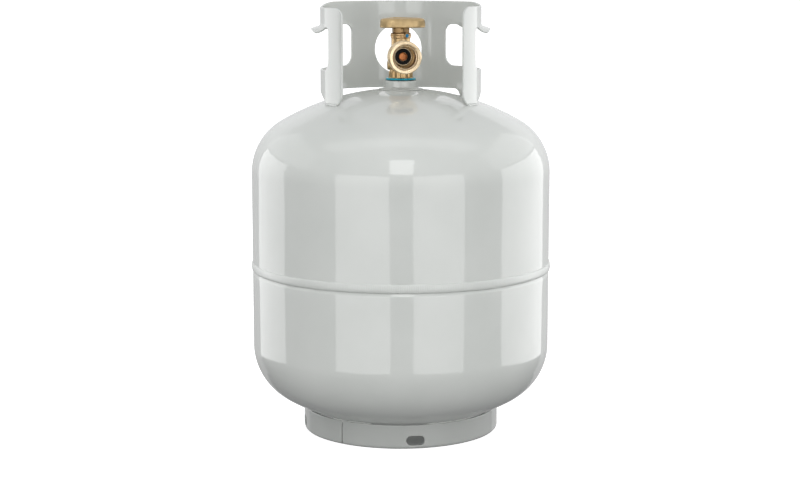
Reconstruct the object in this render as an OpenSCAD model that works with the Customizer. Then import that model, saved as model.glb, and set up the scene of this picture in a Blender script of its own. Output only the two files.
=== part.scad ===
// Refillable 20 lb propane cylinder with its guard collar, foot ring and
// hand-wheel shut-off valve. Millimetres, +Z up, origin on the floor under the
// tank axis, valve outlet towards -Y. Angles run from -Y towards +X.

/* [Tank] */
// Outer radius of the tank
tank_r = 155; // [150:0.5:160]
// Sheet thickness of both shells
wall = 2.1; // [1.8:0.1:2.6]
// Height where the lower head turns into the straight wall
low_tangent = 90.5; // [90.5:0.5:95]
// Height where the straight wall turns into the upper head
high_tangent = 271.2; // [255:0.1:300]
// Radius of the knuckle between wall and head
knuckle_r = 61; // [56:0.5:64]
// Height of the lower edge of the upper shell
seam_z = 172.5; // [165:0.5:180]
// Height of the girth weld bead
bead_h = 9.8; // [8:0.1:12]
// How far the girth weld stands proud of the wall
bead_out = 1.6; // [1:0.1:2.4]

/* [Guard collar] */
// Outer radius of the collar
collar_r = 83.1; // [81:0.1:85]
// Sheet thickness of the collar
collar_t = 2.4; // [2:0.1:3]
// Height of the collar rim above the dome top
collar_rise = 88.5; // [84:0.5:92]
// Half of the front opening, in degrees
opening_half = 48; // [44:0.1:50]
// Start of each hand window, in degrees from the front
window_from = 64.5; // [58:0.5:66]
// End of each hand window, in degrees from the front
window_to = 142; // [136:1:144]
// Radius of the round hole in the back
back_hole_r = 25.9; // [22:0.1:28]

/* [Foot ring] */
// Outer radius of the foot ring
foot_r = 102.1; // [100:0.1:103]
// Height of the foot ring
foot_h = 24.8; // [23:0.1:25]
// Length of each drain slot
slot_len = 19; // [14:0.5:24]
// Height of each drain slot
slot_h = 9.7; // [7:0.1:10]

/* [Valve] */
// Angle of the outlet from the front of the tank
valve_turn = 6.5; // [0:0.5:15]
// Distance from the valve axis to the outlet face
outlet_reach = 42; // [41:0.5:46]
// Major radius of the 1-5/16 inch outlet thread
outlet_thread_r = 16.67; // [16.5:0.01:17]
// Wall radius of the 0.885 inch inner outlet thread
inner_thread_r = 11.24; // [11:0.01:11.5]
// Height of the outlet axis above the neck
outlet_up = 25.2; // [25:0.1:26]
// Distance from the hand wheel axis to the centre of a lobe
lobe_at = 12.5; // [11:0.1:14]
// Radius of a hand wheel lobe
lobe_r = 13; // [12:0.1:14]
// Length of the dip tube below the valve
dip_len = 108; // [90:1:120]

/* [Hidden] */
$fn = 96;
e = 0.01;

paint = [0.80, 0.82, 0.81];
brass = [0.80, 0.68, 0.50];

crown_r = 1.602 * tank_r;
crown_drop = sqrt(pow(crown_r - knuckle_r, 2) - pow(tank_r - knuckle_r, 2));
head_h = crown_r - crown_drop;
dome_top = high_tangent + head_h;
rim_z = dome_top + collar_rise;

// Joggle: the lower shell steps in and slides inside the upper one.
lap_gap = 0.1;
lap_r = tank_r - wall - lap_gap;
lap_h = 13.5;
joggle_h = 4;

spud_r = 16.5;
spud_bore_r = 13.25;
spud_rise = 8.5;
spud_depth = 21;
neck_z = dome_top + spud_rise;

collar_turn = 2;
per_mm = 180 / (PI * collar_r);
collar_band = dome_top - 4;
foot_bottom = dome_top - 12.5;
window_low = dome_top + 20.5;
window_high = dome_top + 65.5;
window_corner = 11;
rim_corner = 6;
rim_dip = 3.5;
dip_end = 86;
lip_from = 75;
lip_to = 125;
lip_root = dome_top + 67.5;
lip_bend_r = 4.5;
lip_bend = 72;
lip_flat = 7.5;
back_hole_z = dome_top + 37.1;
foot_taper = 5;
front_foot = [opening_half, 68];
front_band = 84;
side_band = 106;
rear_foot = [110, 126];
rear_band = 130;

ring_t = 2.4;
ring_flange_r = 93;
ring_bend_r = 3.2;
slot_z = 8.7;
first_slot = 8.5;

// Valve heights are measured from the top of the neck.
shank_r = 13.3;
shank_low = -16;
base_r = 12.4;
core_r = 11.2;
ribs = 10;
rib_low = 2;
rib_r = 3.4;
rib_turn = 33;
seat_up = 20;
chamber_r = 6.6;
barrel_r = 9.8;
barrel_top = 43.7;
bonnet_low = 37;
stem_r = 4;
pin_fit_r = 1.92;
thread_run = 23;
seal_face = 22.4;
retainer_r = 9.0;
check_bore_r = 7;
check_floor = 8;
relief_up = 13;
relief_bore_r = 5.5;
relief_mouth = 24;
relief_seat = 10;
bleed_up = 15.5;
bleed_bore_r = 2.55;
dip_x = -8.6;
float_x = 3;
pivot_up = -38;
pin_r = 1.5;
wheel_low = 54.2;
wheel_high = 64.2;
wheel_turn = -48.5;
washer_up = 60.2;
boss_at = 27.5;
boss_up = 46;
lock_from = 8.2;
run = 0.05;

// Points of a circular arc from angle a0 to a1 about c.
function arc(c, r, a0, a1, n) =
    [for (i = [0:n]) c + r * [cos(a0 + (a1 - a0) * i / n), sin(a0 + (a1 - a0) * i / n)]];

function flip(list) = [for (i = [len(list) - 1:-1:0]) list[i]];

// Half profile of a dished head from its rim to its top, set in by inset.
function head(inset) = let (
    meet = asin((tank_r - knuckle_r) / (crown_r - knuckle_r)))
    concat(
        arc([tank_r - knuckle_r, 0], knuckle_r - inset, 0, 90 - meet, 14),
        [for (i = [1:14]) let (a = meet * (1 - i / 14))
            [(crown_r - inset) * sin(a), (crown_r - inset) * cos(a) - crown_drop]]);

// Outline of a slot with round ends.
function stadium(l, h) = concat(
    arc([(l - h) / 2, 0], h / 2, -90, 90, 12),
    arc([-(l - h) / 2, 0], h / 2, 90, 270, 12));

// Outline of a three-lobed wheel; grow moves the edge outwards.
function lobes(grow) = [for (k = [0:2]) each
    arc(lobe_at * [sin(k * 120), -cos(k * 120)], lobe_r + grow,
        k * 120 - 150, k * 120 - 30, 16)];

// Part of a ring of rectangular section between two angles.
module sector(a0, a1, r0, r1, z0, z1) {
    rotate([0, 0, a0 - 90])
        rotate_extrude(angle = a1 - a0)
            translate([r0, z0]) square([r1 - r0, z1 - z0]);
}

// Cylinder lying along the direction at angle a, between two distances.
module radial(a, z, r, from, to) {
    rotate([0, 0, a]) translate([0, -from, z]) rotate([90, 0, 0])
        cylinder(r = r, h = to - from);
}

// Cone frustum lying along -Y at height z.
module outlet_cone(z, r1, r2, from, to) {
    translate([0, -from, z]) rotate([90, 0, 0])
        cylinder(r1 = r1, r2 = r2, h = to - from);
}

// Outline given as [angle, height], cut straight through the collar sheet.
module sheet_cut(centre, outline) {
    rotate([0, 0, centre]) translate([0, -collar_r / 2, 0]) rotate([90, 0, 0])
        linear_extrude(collar_r)
            polygon([for (p = outline) [collar_r * sin(p[0] - centre), p[1]]]);
}

module in_valve() {
    translate([0, 0, neck_z]) rotate([0, 0, valve_turn]) children();
}

module both_sides() {
    children();
    mirror([1, 0, 0]) children();
}

// Compression spring along +Z from 0 to l, measured over the wire.
module coil(r, wire_r, l, turns) {
    sides = 8;
    steps = round(turns * 20);
    function ring(i) = let (a = 360 * turns * i / steps,
        z = wire_r + (l - 2 * wire_r) * i / steps)
        [for (k = [0:sides - 1]) let (b = 360 * k / sides)
            [(r + wire_r * cos(b)) * cos(a), (r + wire_r * cos(b)) * sin(a),
                z + wire_r * sin(b)]];
    skin = [for (i = [0:steps - 1], k = [0:sides - 1]) let (n = (k + 1) % sides)
        [i * sides + k, i * sides + n, (i + 1) * sides + n, (i + 1) * sides + k]];
    polyhedron(
        points = [for (i = [0:steps]) each ring(i)],
        faces = concat(skin, [flip([for (k = [0:sides - 1]) k])],
            [[for (k = [0:sides - 1]) steps * sides + k]]),
        convexity = 6);
}

// Upper half: wall, head and the hole for the neck.
module upper_shell() {
    color(paint) rotate_extrude() difference() {
        polygon(concat(
            [[tank_r, seam_z]],
            [for (p = head(0)) p + [0, high_tangent]],
            [for (p = flip(head(wall))) p + [0, high_tangent]],
            [[tank_r - wall, seam_z]]));
        translate([-1, high_tangent]) square([spud_r + 1, head_h + 1]);
    }
}

// Lower half: head, wall and the stepped-in rim.
module lower_shell() {
    shoulder = seam_z - 6;
    color(paint) rotate_extrude()
        polygon(concat(
            [[lap_r, seam_z + lap_h], [lap_r, shoulder + joggle_h], [tank_r, shoulder]],
            [for (p = head(0)) [p[0], low_tangent - p[1]]],
            [for (p = flip(head(wall))) [p[0], low_tangent - p[1]]],
            [[tank_r - wall, shoulder], [lap_r - wall, shoulder + joggle_h],
                [lap_r - wall, seam_z + lap_h]]));
}

// Bead that joins the halves.
module girth_weld() {
    root = 2.8;
    half = (bead_out + root) / 2;
    color(paint) rotate_extrude()
        polygon([for (a = [0:15:345])
            [tank_r + bead_out - half + half * cos(a),
                seam_z + 1.5 + bead_h / 2 * sin(a)]]);
}

// Threaded steel boss in the top of the dome.
module neck_spud() {
    chamfer = 0.8;
    color(paint) translate([0, 0, neck_z - spud_depth]) difference() {
        union() {
            cylinder(r = spud_r, h = spud_depth - chamfer);
            translate([0, 0, spud_depth - chamfer])
                cylinder(r1 = spud_r, r2 = spud_r - chamfer, h = chamfer);
        }
        translate([0, 0, -1]) cylinder(r = spud_bore_r, h = spud_depth + 2);
    }
}

// Flared weld around the neck.
module neck_weld() {
    color(paint) translate([0, 0, dome_top]) rotate_extrude()
        polygon([[spud_r - 0.2, -1.8], [22.6, -1.8], [23.4, -0.6], [22.9, 0.1], [20.5, 0.4],
            [18, 0.9], [17, 1.5], [spud_r - 0.2, 2.6]]);
}

// Rounded corner of an outline given as [angle, height].
function corner(a, z, r, from, to) = [for (p = arc([0, 0], r, from, to, 6))
    [a + p[0] * per_mm, z + p[1]]];

// Hand window, with room above it for the grip lip.
module hand_window() {
    left = window_from + window_corner * per_mm;
    right = window_to - window_corner * per_mm;
    low = window_low + window_corner;
    high = window_high - window_corner;
    relief = 1.5;
    sheet_cut((window_from + window_to) / 2, concat(
        corner(left, low, window_corner, 180, 270),
        corner(right, low, window_corner, 270, 360),
        corner(right, high, window_corner, 0, 90),
        [[lip_to + relief, window_high], [lip_to + relief, lip_root],
            [lip_from - relief, lip_root], [lip_from - relief, window_high]],
        corner(left, high, window_corner, 90, 180)));
}

// Grip lip, where the upper edge of a window turns outwards.
module grip_lip() {
    c = [collar_r - collar_t / 2 + lip_bend_r, lip_root];
    outer = lip_bend_r + collar_t / 2;
    inner = lip_bend_r - collar_t / 2;
    tip = 180 + lip_bend;
    edge = lip_flat * [sin(lip_bend), -cos(lip_bend)];
    rotate([0, 0, lip_from - 90]) rotate_extrude(angle = lip_to - lip_from)
        polygon(concat(
            arc(c, outer, 180, tip, 8),
            [c + outer * [cos(tip), sin(tip)] + edge, c + inner * [cos(tip), sin(tip)] + edge],
            arc(c, inner, tip, 180, 8)));
}

// Gaps under the band, which leave four feet with sloping sides.
module between_feet() {
    low = foot_bottom - 3;
    back_z = collar_band + 0.4;
    lean = 1.4;
    past_back = 181;
    sheet_cut(front_foot[0], [[front_foot[0] - 3, low], [front_foot[0] + foot_taper + 2, low],
        [front_foot[0] + foot_taper, foot_bottom - 1], [front_foot[0] - 1, collar_band - 1],
        [front_foot[0] - 3, collar_band - 1]]);
    sheet_cut(90, [[front_foot[1] - 4, low], [front_band - 4, collar_band - 1.5],
        [front_band, collar_band], [side_band, collar_band], [rear_foot[0] + lean, low]]);
    sheet_cut((rear_band + past_back) / 2, [[rear_foot[1] - lean, low], [rear_band, back_z],
        [past_back, back_z], [past_back, low]]);
}

// Rounds the collar's front upper corner and lets the rim dip towards it.
module rim_corner_cut() {
    low_rim = rim_z - rim_dip;
    sheet_cut(opening_half + 15, concat(
        [[opening_half - 1, low_rim - rim_corner - 1]],
        corner(opening_half + rim_corner * per_mm, low_rim - rim_corner, rim_corner, 165, 95),
        [[dip_end, rim_z + 0.3], [dip_end, rim_z + 5], [opening_half - 1, rim_z + 5]]));
}

// Sheet collar with two hand windows, a round hole at the back and four feet.
module guard_collar() {
    color(paint) rotate([0, 0, collar_turn]) {
        difference() {
            sector(opening_half, 360 - opening_half, collar_r - collar_t, collar_r,
                foot_bottom, rim_z);
            both_sides() {
                hand_window();
                between_feet();
                rim_corner_cut();
            }
            radial(180, back_hole_z, back_hole_r, 70, 100);
        }
    }
}

module grip_lips() {
    color(paint) rotate([0, 0, collar_turn]) both_sides() grip_lip();
}

// Fillet beads on both faces of each foot of the collar.
module collar_welds() {
    bead_r = 2.2;
    front_weld = [front_foot[0] + foot_taper - 1, front_foot[1]];
    outside = [collar_r + 0.8, dome_top - 13.3];
    inside = [collar_r - collar_t - 0.8, dome_top - 11.9];
    color(paint) rotate([0, 0, collar_turn]) both_sides()
        for (foot = [front_weld, rear_foot], centre = [outside, inside])
            rotate([0, 0, foot[0] - 0.5 - 90])
                rotate_extrude(angle = foot[1] - foot[0] + 1)
                    translate(centre) circle(r = bead_r, $fn = 24);
}

// Rolled foot ring with an inward flange and four drain slots.
module foot_ring() {
    seam_at = -36;
    c = [foot_r - ring_bend_r, ring_bend_r];
    color(paint) difference() {
        rotate_extrude()
            polygon(concat(
                [[foot_r, foot_h]],
                arc(c, ring_bend_r, 0, -90, 6),
                [[ring_flange_r, 0], [ring_flange_r, ring_t]],
                arc(c, ring_bend_r - ring_t, -90, 0, 4),
                [[foot_r - ring_t, foot_h]]));
        for (k = [0:3]) rotate([0, 0, first_slot + k * 90])
            translate([0, -foot_r + 6, slot_z]) rotate([90, 0, 0])
                linear_extrude(12) polygon(stadium(slot_len, slot_h));
        rotate([0, 0, seam_at]) translate([-0.25, -foot_r - 1, ring_bend_r])
            cube([0.5, 1.4, foot_h]);
    }
}

// Short beads inside the top edge of the foot ring.
module foot_ring_welds() {
    beads = 6;
    bead_r = 2.2;
    color(paint) for (k = [0:beads - 1])
        rotate([0, 0, k * 360 / beads + 15])
            rotate_extrude(angle = 28)
                translate([foot_r - ring_t - 0.7, foot_h - 0.9]) circle(r = bead_r, $fn = 24);
}

// Outside of the valve forging.
module valve_outside() {
    translate([0, 0, shank_low]) cylinder(r = shank_r, h = 2.5 - shank_low);
    translate([0, 0, rib_low]) cylinder(r = core_r, h = 10);
    for (k = [0:ribs - 1]) rotate([0, 0, rib_turn + k * 360 / ribs])
        translate([base_r - rib_r, 0, rib_low]) cylinder(r = rib_r, h = 7, $fn = 48);
    translate([0, 0, 11]) cylinder(r = 11.6, h = 12);
    translate([0, 0, 22]) cylinder(r = barrel_r, h = barrel_top - 22);
    radial(0, outlet_up, 13.2, 0, outlet_reach - thread_run + 1);
    radial(0, outlet_up, outlet_thread_r, outlet_reach - thread_run, outlet_reach - 1.4);
    outlet_cone(outlet_up, outlet_thread_r, outlet_thread_r - 0.9, outlet_reach - 1.4, outlet_reach);
    radial(180, relief_up, 8, 0, relief_mouth);
    radial(-90, bleed_up, 4.8, 0, 14);
}

// Brass forging with every passage cut.
module valve_body() {
    mouth = outlet_reach;
    inner_end = 25;
    color(brass) in_valve() difference() {
        valve_outside();
        translate([0, 0, shank_low - 1]) cylinder(r = 3.6, h = seat_up - shank_low + 2);
        translate([0, 0, shank_low - 1]) cylinder(r = 6.05, h = 7);
        translate([0, 0, seat_up]) cylinder(r = chamber_r, h = barrel_top - seat_up + 1);
        translate([0, 0, bonnet_low]) cylinder(r = 8 + run, h = barrel_top - bonnet_low + 1);
        radial(0, outlet_up, 4, 0, check_floor + 1);
        radial(0, outlet_up, check_bore_r, check_floor, 17);
        radial(0, outlet_up, retainer_r + run, 16, 23);
        outlet_cone(outlet_up, retainer_r + run, inner_thread_r, 22.5, inner_end);
        radial(0, outlet_up, inner_thread_r, inner_end, mouth + 1);
        outlet_cone(outlet_up, inner_thread_r, inner_thread_r + 1.4, mouth - 1.4, mouth + e);
        radial(180, relief_up, 2.6, 0, relief_seat + 1);
        radial(180, relief_up, relief_bore_r, relief_seat, relief_mouth + 1);
        radial(-90, bleed_up, bleed_bore_r, 10.5, 15);
        radial(-90, bleed_up, 0.7, -dip_x, 11);
        translate([dip_x, 0, shank_low - 1]) cylinder(r = 0.8, h = bleed_up - shank_low + 1);
        translate([dip_x, 0, shank_low - 1]) cylinder(r = 1.6 + run, h = 9);
    }
}

// Bead of thread sealant squeezed out on the neck.
module sealant_ring() {
    color([0.0, 0.55, 0.70]) in_valve() rotate_extrude()
        polygon([[shank_r, 0], [15.4, 0], [15.85, 0.8], [15.7, 1.8], [15, 2.4], [shank_r, 2.5]]);
}

// Bonnet screwed into the barrel, with the boss for its lock pin.
module bonnet() {
    hub_r = 9.6;
    hub_turn = 33.8;
    color(brass) in_valve() difference() {
        union() {
            translate([0, 0, bonnet_low]) cylinder(r = 8, h = barrel_top - bonnet_low + e);
            translate([0, 0, barrel_top]) cylinder(r = 10.5, h = 4.6);
            translate([0, 0, 45.8]) cylinder(r = 10.8, h = 0.6);
            rotate([0, 0, hub_turn]) translate([0, 0, 48]) cylinder(r = hub_r, h = 6, $fn = 6);
            radial(boss_at, boss_up, 3.1, barrel_r + run, 11.6);
        }
        translate([0, 0, bonnet_low - 1]) cylinder(r = 6.3, h = 4);
        translate([0, 0, bonnet_low - 1]) cylinder(r = stem_r, h = 20);
        radial(boss_at, boss_up, pin_fit_r, lock_from, 13);
    }
}

module bonnet_lock_pin() {
    color([0.0, 0.45, 0.70]) in_valve()
        radial(boss_at, boss_up, pin_fit_r - run / 2, lock_from, 11.9);
}

// Spindle that turns with the hand wheel and drives the plug by its tang.
module stem() {
    groove = [42, 45.5];
    color(brass) in_valve() difference() {
        union() {
            translate([-2.5, -2.5, 30]) cube([5, 5, 8]);
            translate([0, 0, 37.2]) cylinder(r = 6.2, h = 2.6);
            translate([0, 0, 39]) cylinder(r = stem_r - run, h = 15.1);
            rotate([0, 0, wheel_turn]) translate([-2.75, -2.75, 54]) cube([5.5, 5.5, 6]);
        }
        for (z = groove) translate([0, 0, z]) difference() {
            cylinder(r = 5, h = 1.1);
            translate([0, 0, -1]) cylinder(r = 2.95, h = 3);
        }
        translate([0, 0, 52]) cylinder(r = 1.5, h = 9);
    }
}

module stem_o_rings() {
    color("black") in_valve() for (z = [42.55, 46.05])
        translate([0, 0, z]) rotate_extrude()
            translate([3.45, 0]) circle(r = 0.5, $fn = 20);
}

// Three-lobed hand wheel, hollow underneath, with a shallow dish on top.
module handwheel() {
    dish = 1.5;
    rim = 3;
    color([0.79, 0.66, 0.44]) in_valve() rotate([0, 0, wheel_turn]) difference() {
        union() {
            translate([0, 0, wheel_low]) linear_extrude(wheel_high - wheel_low - 1)
                polygon(lobes(0));
            translate([0, 0, wheel_high - 1]) linear_extrude(1) polygon(lobes(-0.8));
        }
        difference() {
            translate([0, 0, wheel_low - 1]) linear_extrude(5.2) polygon(lobes(-rim));
            cylinder(r = 6.5, h = wheel_high);
        }
        translate([0, 0, wheel_high - dish]) linear_extrude(2) polygon(lobes(-rim - 1));
        translate([0, 0, washer_up]) cylinder(r = 5.6, h = 5);
        translate([-2.8, -2.8, wheel_low - 1]) cube([5.6, 5.6, 9]);
    }
}

module handwheel_washer() {
    color([0.6, 0.6, 0.6]) in_valve() translate([0, 0, washer_up]) difference() {
        cylinder(r = 5.2, h = 0.7);
        translate([0, 0, -1]) cylinder(r = 1.6, h = 3);
    }
}

module handwheel_screw() {
    color([0.6, 0.6, 0.6]) in_valve() difference() {
        union() {
            translate([0, 0, 53]) cylinder(r = 1.45, h = 8);
            translate([0, 0, washer_up + 0.7]) cylinder(r = 3.4, h = 1.6);
        }
        translate([-4, -0.5, washer_up + 1.5]) cube([8, 1, 2]);
    }
}

// Seat carrier: screwed in the barrel, driven through its square socket.
module plug() {
    color(brass) in_valve() difference() {
        translate([0, 0, seat_up + 0.6]) cylinder(r = chamber_r - 0.1, h = 11.4);
        translate([0, 0, seat_up]) cylinder(r = 5 + run, h = 2.5);
        translate([-2.6, -2.6, 25]) cube([5.2, 5.2, 8]);
    }
}

module seat_disc() {
    color([0.9, 0.9, 0.85]) in_valve() translate([0, 0, seat_up]) cylinder(r = 5, h = 2.5);
}

// Rubber ring that the gas nipple seals on.
module outlet_seal() {
    color([0.05, 0.05, 0.05]) in_valve() difference() {
        radial(0, outlet_up, 8.3, 19.4, seal_face);
        radial(0, outlet_up, 4.6, 19, seal_face + 1);
    }
}

module check_retainer() {
    color(brass) in_valve() difference() {
        radial(0, outlet_up, retainer_r, 16, 20.6);
        radial(0, outlet_up, 8.3, 19.4, 23);
        radial(0, outlet_up, 4.3, 15, 23);
    }
}

// Poppet that shuts the outlet until a nipple pushes it in.
module check_plunger() {
    color([0.72, 0.45, 0.25]) in_valve() difference() {
        union() {
            radial(0, outlet_up, 2, 12, 15);
            radial(0, outlet_up, 6.3, 14.4, 16);
            radial(0, outlet_up, 4.2, 15, 21);
        }
        radial(0, outlet_up, 3.4, 17, 22);
    }
}

module check_spring() {
    color([0.6, 0.6, 0.6]) in_valve() translate([0, -check_floor, outlet_up])
        rotate([90, 0, 0]) coil(4.9, 0.35, 14.4 - check_floor, 4);
}

module relief_poppet() {
    color(brass) in_valve() {
        radial(180, relief_up, 5.3, 11.2, 13);
        radial(180, relief_up, 1.6, 12.5, 18.5);
    }
}

module relief_seal() {
    color("black") in_valve() radial(180, relief_up, 4.6, relief_seat, 11.2);
}

module relief_spring() {
    color([0.6, 0.6, 0.6]) in_valve() translate([0, 13, relief_up])
        rotate([-90, 0, 0]) coil(3.6, 0.45, 7, 5);
}

// Threaded ring that sets the relief pressure; gas leaves through its bore.
module relief_adjuster() {
    color(brass) in_valve() difference() {
        radial(180, relief_up, relief_bore_r - run, 20, 23.5);
        radial(180, relief_up, 2.4, 19, 25);
        both_sides()
            translate([3.9, 22.5, relief_up - 0.6]) cube([2, 2, 1.2]);
    }
}

// Slotted screw of the fixed level gauge.
module bleed_screw() {
    color([0.7, 0.7, 0.7]) in_valve() difference() {
        radial(-90, bleed_up, bleed_bore_r - run, 10.6, 13.8);
        translate([-15, -4, bleed_up - 0.4]) cube([2.2, 8, 0.8]);
    }
}

module dip_tube() {
    color([0.75, 0.7, 0.5]) in_valve() translate([dip_x, 0, -8 - dip_len]) difference() {
        cylinder(r = 1.6, h = dip_len);
        translate([0, 0, -1]) cylinder(r = 0.8, h = dip_len + 2);
    }
}

// Body of the overfill stop, screwed into the bottom of the valve.
module opd_housing() {
    color([0.9, 0.9, 0.92]) in_valve() difference() {
        union() {
            translate([0, 0, shank_low]) cylinder(r = 6, h = 6);
            translate([0, 0, -44]) cylinder(r = 11.5, h = 28);
        }
        translate([0, 0, -45]) cylinder(r = 4.5, h = 25);
        translate([0, 0, -45]) cylinder(r = 3.4, h = 40);
        translate([-13, -4, -45]) cube([26, 8, 15]);
        radial(0, -25, 2.5, -13, 13);
        translate([dip_x, 0, -45]) cylinder(r = 2.2, h = 40);
        translate([-13, -2.2, -45]) cube([13 + dip_x, 4.4, 40]);
        translate([float_x, 13, pivot_up]) rotate([90, 0, 0]) cylinder(r = pin_r, h = 26);
    }
}

module opd_poppet() {
    color([0.85, 0.2, 0.15]) in_valve() difference() {
        translate([0, 0, pivot_up + 5]) cylinder(r = 4.4, h = 9.4);
        translate([0, 0, pivot_up + 11]) cylinder(r = 2.6, h = 9);
    }
}

module float_pin() {
    color([0.6, 0.6, 0.6]) in_valve() translate([float_x, 8.5, pivot_up])
        rotate([90, 0, 0]) cylinder(r = pin_r, h = 17);
}

// Arm with the cam that lifts the overfill poppet.
module float_arm() {
    color([0.9, 0.9, 0.92]) in_valve() difference() {
        union() {
            translate([float_x + 3, 3.8, pivot_up]) rotate([90, 0, 0]) cylinder(r = 5, h = 7.6);
            translate([float_x, 3.8, pivot_up]) rotate([90, 0, 0]) cylinder(r = 3.6, h = 7.6);
            translate([float_x - 2.4, -2.5, pivot_up - 26.5]) cube([4.8, 5, 24]);
            translate([float_x, 0, pivot_up - 28]) cylinder(r = 5, h = 2);
        }
        translate([float_x, 13, pivot_up]) rotate([90, 0, 0]) cylinder(r = pin_r + run, h = 26);
    }
}

// Hollow-look foam float below the arm.
module float() {
    color([0.25, 0.25, 0.27]) in_valve() translate([float_x, 0, pivot_up - 84]) {
        cylinder(r1 = 6.8, r2 = 8.3, h = 1.5);
        translate([0, 0, 1.5]) cylinder(r = 8.3, h = 53);
        translate([0, 0, 54.5]) cylinder(r1 = 8.3, r2 = 6.8, h = 1.5);
    }
}

upper_shell();
lower_shell();
girth_weld();
neck_spud();
neck_weld();
guard_collar();
grip_lips();
collar_welds();
foot_ring();
foot_ring_welds();
valve_body();
sealant_ring();
bonnet();
bonnet_lock_pin();
stem();
stem_o_rings();
handwheel();
handwheel_washer();
handwheel_screw();
plug();
seat_disc();
outlet_seal();
check_retainer();
check_plunger();
check_spring();
relief_poppet();
relief_seal();
relief_spring();
relief_adjuster();
bleed_screw();
dip_tube();
opd_housing();
opd_poppet();
float_pin();
float_arm();
float();
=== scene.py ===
import math

import bmesh
import bpy
import numpy as np
from mathutils import Matrix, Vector
from mathutils.geometry import delaunay_2d_cdt


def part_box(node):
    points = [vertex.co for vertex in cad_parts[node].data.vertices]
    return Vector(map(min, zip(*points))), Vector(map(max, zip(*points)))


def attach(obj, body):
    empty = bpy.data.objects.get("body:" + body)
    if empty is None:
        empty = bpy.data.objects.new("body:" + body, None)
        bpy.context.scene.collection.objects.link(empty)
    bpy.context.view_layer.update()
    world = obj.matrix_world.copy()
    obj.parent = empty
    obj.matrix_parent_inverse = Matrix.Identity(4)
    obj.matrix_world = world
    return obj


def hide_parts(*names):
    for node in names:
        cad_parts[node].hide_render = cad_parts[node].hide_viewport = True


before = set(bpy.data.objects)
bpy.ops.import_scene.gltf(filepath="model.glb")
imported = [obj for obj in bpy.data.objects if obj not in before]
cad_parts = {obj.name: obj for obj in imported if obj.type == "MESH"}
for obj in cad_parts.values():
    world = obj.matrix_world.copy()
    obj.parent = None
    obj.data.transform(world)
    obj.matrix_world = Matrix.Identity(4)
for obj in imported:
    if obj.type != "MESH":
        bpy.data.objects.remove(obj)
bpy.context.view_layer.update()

# Lengths are millimetres, angles degrees from the front (-Y) towards +X. Meshes, lights and the
# camera are placed in metres.
MM = 0.001
TAU = 2 * math.pi


def box_mm(node):
    low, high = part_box(node)
    return np.array(low) / MM, np.array(high) / MM


# Driving sizes, the CAD part's own except the rim's dip and ramp, the posts' edge, the feet and
# the fading ends of the grip lips, which are shaped more finely here.
WALL = 2.1
KNUCKLE_R = 61.0
CROWN_SHARE = 1.602
SPUD_R = 16.5
SPUD_RISE = 8.5
LAP_R = 152.8
LAP_H = 13.5
COLLAR_T = 2.4
COLLAR_TURN = 2.0
POST_EDGE = (47.4, 47.6)  # at the rim and at the band
WINDOW = (64.6, 142.0)
WINDOW_CORNER = 11.0
WINDOW_LOW_UP = 20.5
WINDOW_HIGH_UP = 65.5
RIM_DIP = (3.5, 4.8)
RIM_LEVEL = (112.0, 120.0)
RIM_RAMP = 28.0
FRONT_FOOT = (52.8, 66.5)
REAR_FOOT = (110.6, 125.6)
LIP_ROOT_UP = 67.5
LIP_BEND_R = 4.5
LIP_BEND = math.radians(72)
LIP_FLAT = 7.5
LIP_FADE = (66, 86, 118, 136)
BACK_HOLE_R = 25.9
BACK_HOLE_UP = 37.1
RING_T = 2.4
RING_BEND_R = 3.2
RING_FLANGE_R = 93.0
RING_SEAM = -36.0
FIRST_SLOT = 8.5
SLOT = (19.0, 9.7, 8.7)
VALVE_TURN = 6.5
OUTLET_UP = 25.2
OUTLET_REACH = 42.0
WHEEL_TURN = -48.5
LOBE_AT = 12.5
LOBE_R = 13.0
WASHER_UP = 60.2
BOSS_AT = 27.5
BOSS_UP = 46.0
BASE_R = 12.4
CORE_R = 11.0
RIB_R = 3.4
RIBS = 10

shell_low, shell_high = box_mm("upper_shell")
lower_low, _ = box_mm("lower_shell")
collar_low, collar_high = box_mm("guard_collar")
_, ring_high = box_mm("foot_ring")
wheel_low_mm, wheel_high_mm = box_mm("handwheel")

TANK_R = float(shell_high[0])
SEAM_Z = float(shell_low[2])
NECK_Z = float(box_mm("neck_spud")[1][2])
DOME_TOP = NECK_Z - SPUD_RISE
CROWN_R = CROWN_SHARE * TANK_R
CROWN_DROP = math.sqrt((CROWN_R - KNUCKLE_R) ** 2 - (TANK_R - KNUCKLE_R) ** 2)
HEAD_H = CROWN_R - CROWN_DROP
HIGH_TANGENT = DOME_TOP - HEAD_H
LOW_TANGENT = float(lower_low[2]) + HEAD_H
COLLAR_R = float(collar_high[0])
RIM_Z = float(collar_high[2])
FOOT_BOTTOM = float(collar_low[2])
COLLAR_BAND = DOME_TOP - 4.0
RING_R = float(ring_high[0])
RING_H = float(ring_high[2])

VALVE = Matrix.Translation((0, 0, NECK_Z)) @ Matrix.Rotation(math.radians(VALVE_TURN), 4, "Z")
# Turns a lathe's own axis to lie along the valve outlet.
OUTLET = VALVE @ Matrix.Translation((0, 0, OUTLET_UP)) @ Matrix.Rotation(math.radians(90), 4, "X")


# Mesh building

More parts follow.
